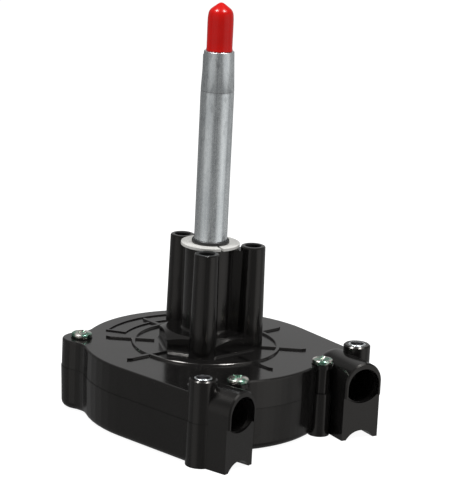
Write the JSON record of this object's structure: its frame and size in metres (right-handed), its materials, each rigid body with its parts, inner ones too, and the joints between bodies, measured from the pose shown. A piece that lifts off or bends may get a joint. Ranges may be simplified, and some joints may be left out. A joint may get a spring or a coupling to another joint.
{
  "type": "boat steering helm",
  "caption": "Rotary boat steering helm: round black casing with two cable ports, a hub tower with mounting bosses and a tapered wheel shaft that turns a planet-geared cable drum.",
  "frame": {"origin": "where the steering shaft's axis meets the plane of the rear face", "axes": "+Z along the steering shaft towards the wheel, -Y towards the cable ports, the casing is symmetric about X = 0"},
  "size_m": [0.1426, 0.1592, 0.2415],
  "materials": {
    "casing": "satin moulded",
    "zinc_steel": "zinc plated",
    "screw_zinc": "zinc plated, faintly green",
    "red_cap": "glossy soft vinyl",
    "white_bush": "smooth",
    "seal_rubber": "matt",
    "gear_steel": "oiled",
    "drum_alloy": "as cast",
    "bronze": "sintered"
  },
  "bodies": {
    "housing": {"front_housing": "casing", "back_housing": "casing", "front_bush": "white_bush", "lower_bush": "white_bush", "rear_bush": "white_bush", "drum_washer": "white_bush", "drum_slide_ring": "white_bush", "planet_pins": "zinc_steel", "lower_planet_washers": "white_bush", "upper_planet_washers": "white_bush", "carrier_plate": "zinc_steel", "corner_screws": "screw_zinc", "port_screws": "screw_zinc", "lock_insert_left": "zinc_steel", "lock_insert_right": "zinc_steel"},
    "shaft": {"steering_shaft": "zinc_steel", "woodruff_key": "zinc_steel", "seal_ring": "seal_rubber", "thrust_washer": "zinc_steel", "drive_pinion": "gear_steel", "pinion_lock_pin": "zinc_steel"},
    "drum": {"cable_drum": "drum_alloy"},
    "planet_1": {"planet_gear_1": "gear_steel", "planet_bush_1": "bronze"},
    "planet_2": {"planet_gear_2": "gear_steel", "planet_bush_2": "bronze"},
    "planet_3": {"planet_gear_3": "gear_steel", "planet_bush_3": "bronze"},
    "cap": {"thread_cap": "red_cap"}
  },
  "joints": [
    {"name": "shaft_spin", "type": "hinge", "parent": "housing", "child": "shaft", "pos_m": [0, 0, 0], "axis": [0, 0, 1], "continuous": true},
    {"name": "drum_spin", "type": "hinge", "parent": "housing", "child": "drum", "pos_m": [0, 0, 0], "axis": [0, 0, 1], "continuous": true},
    {"name": "planet_1_spin", "type": "hinge", "parent": "housing", "child": "planet_1", "pos_m": [0, 0.0315, 0], "axis": [0, 0, 1], "continuous": true},
    {"name": "planet_2_spin", "type": "hinge", "parent": "housing", "child": "planet_2", "pos_m": [-0.02728, -0.01575, 0], "axis": [0, 0, 1], "continuous": true},
    {"name": "planet_3_spin", "type": "hinge", "parent": "housing", "child": "planet_3", "pos_m": [0.02728, -0.01575, 0], "axis": [0, 0, 1], "continuous": true},
    {"name": "cap_pull", "type": "slide", "parent": "shaft", "child": "cap", "axis": [0, 0, 1], "range_m": [0, 0.03]}
  ],
  "couplings": [
    {"joint": "drum_spin", "follows": "shaft_spin", "ratio": -0.2},
    {"joint": "planet_1_spin", "follows": "shaft_spin", "ratio": -0.5},
    {"joint": "planet_2_spin", "follows": "shaft_spin", "ratio": -0.5},
    {"joint": "planet_3_spin", "follows": "shaft_spin", "ratio": -0.5}
  ]
}
